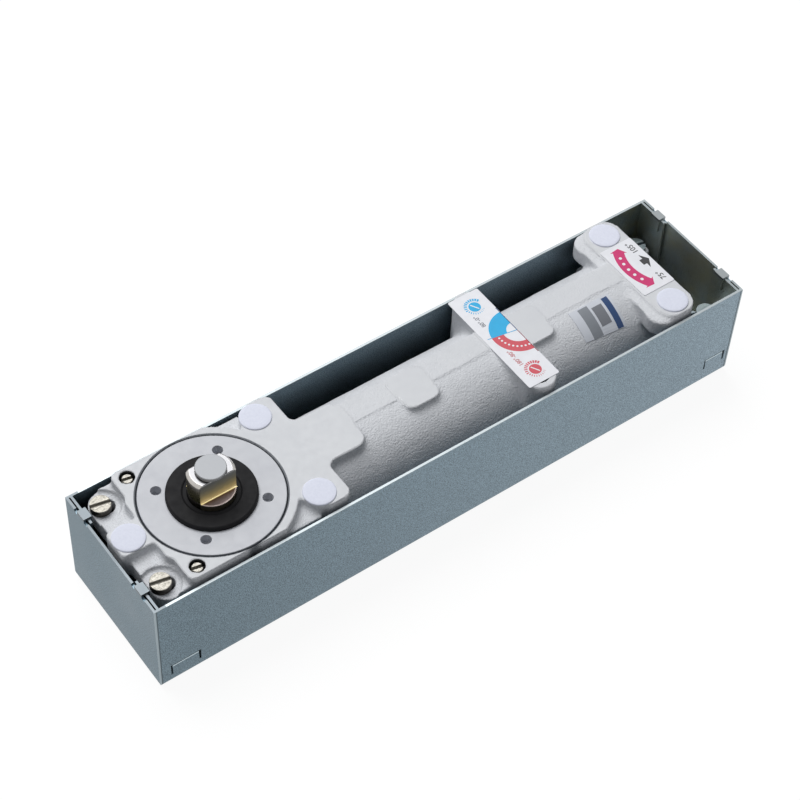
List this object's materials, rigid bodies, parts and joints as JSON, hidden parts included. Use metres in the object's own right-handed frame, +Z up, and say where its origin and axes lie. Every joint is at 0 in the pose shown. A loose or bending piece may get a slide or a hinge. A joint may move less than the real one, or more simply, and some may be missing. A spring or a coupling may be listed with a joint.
{
  "type": "floor spring",
  "caption": "Floor spring for a swing door: cam and spring closer in a cast housing with a flat sided spindle, seated in a folded sheet cement box.",
  "frame": {"origin": "middle of the cement box's underside", "axes": "+X from the spindle end to the spring end along the box, +Z up along the spindle"},
  "size_m": [0.341, 0.076, 0.0839],
  "materials": {
    "zinc_sheet": "zinc plated sheet, satin",
    "zinc_steel": "zinc plated, satin",
    "grey_paint": "light grey paint over cast iron, machined flats smooth",
    "cover_paint": "light grey paint on a turned face",
    "rubber": "smooth black rubber",
    "bearing_steel": "ground",
    "spindle_steel": "ground, oiled",
    "piston_steel": "turned",
    "spring_steel": "oil tempered",
    "label": "printed film",
    "foam": "closed cell foam, matt",
    "screw_nickel": "nickel plated, satin"
  },
  "bodies": {
    "closer": {"cement_box": "zinc_sheet", "box_bushes": "zinc_steel", "cast_body": "grey_paint", "bearing_cover": "cover_paint", "cover_ring": "rubber", "shaft_seal": "rubber", "upper_bearing_shell": "bearing_steel", "upper_bearing_needles": "bearing_steel", "lower_bearing_shell": "bearing_steel", "lower_bearing_needles": "bearing_steel", "thrust_washer": "bearing_steel", "closing_spring": "spring_steel", "spring_plate": "piston_steel", "end_plug": "piston_steel", "plug_ring": "rubber", "valve_rings": "rubber", "valve_label": "label", "hold_open_label": "label", "rating_label": "label", "cover_pads": "foam", "head_fixing_screws": "screw_nickel", "tail_fixing_screws": "screw_nickel", "head_levelling_screws": "zinc_steel", "tail_levelling_screws": "zinc_steel"},
    "spindle_set": {"spindle": "spindle_steel", "cam_disc": "bearing_steel"},
    "piston_set": {"piston": "piston_steel", "piston_ring": "rubber", "roller_pin": "bearing_steel", "check_ball": "bearing_steel", "check_ball_clip": "bearing_steel"},
    "roller_set": {"cam_roller": "bearing_steel"},
    "hold_open_set": {"hold_open_adjuster": "zinc_steel"},
    "closing_valve_set": {"closing_valve": "zinc_steel"},
    "latching_valve_set": {"latching_valve": "zinc_steel"}
  },
  "joints": [
    {"name": "spindle_turn", "type": "hinge", "parent": "closer", "child": "spindle_set", "pos_m": [-0.1165, 0, 0.034], "axis": [0, 0, 1], "range_deg": [0, 175], "stiffness_Nm_per_rad": 12.7},
    {"name": "piston_slide", "type": "slide", "parent": "closer", "child": "piston_set", "axis": [1, 0, 0], "range_m": [0, 0.01678], "deforming": ["closing_spring"]},
    {"name": "roller_spin", "type": "hinge", "parent": "piston_set", "child": "roller_set", "pos_m": [-0.095, 0, 0.034], "axis": [0, 0, 1], "range_deg": [-403, 0]},
    {"name": "hold_open_turn", "type": "hinge", "parent": "closer", "child": "hold_open_set", "pos_m": [0.144, 0, 0.034], "axis": [1, 0, 0], "range_deg": [-90, 90]},
    {"name": "closing_valve_turn", "type": "hinge", "parent": "closer", "child": "closing_valve_set", "pos_m": [0.0495, 0.027, 0.064], "axis": [0, 0, 1], "range_deg": [-180, 180]},
    {"name": "latching_valve_turn", "type": "hinge", "parent": "closer", "child": "latching_valve_set", "pos_m": [0.0495, -0.027, 0.064], "axis": [0, 0, 1], "range_deg": [-180, 180]}
  ],
  "couplings": [
    {"joint": "piston_slide", "follows": "spindle_turn", "m_per_rad": 0.0054909},
    {"joint": "roller_spin", "follows": "spindle_turn", "ratio": -2.3}
  ]
}
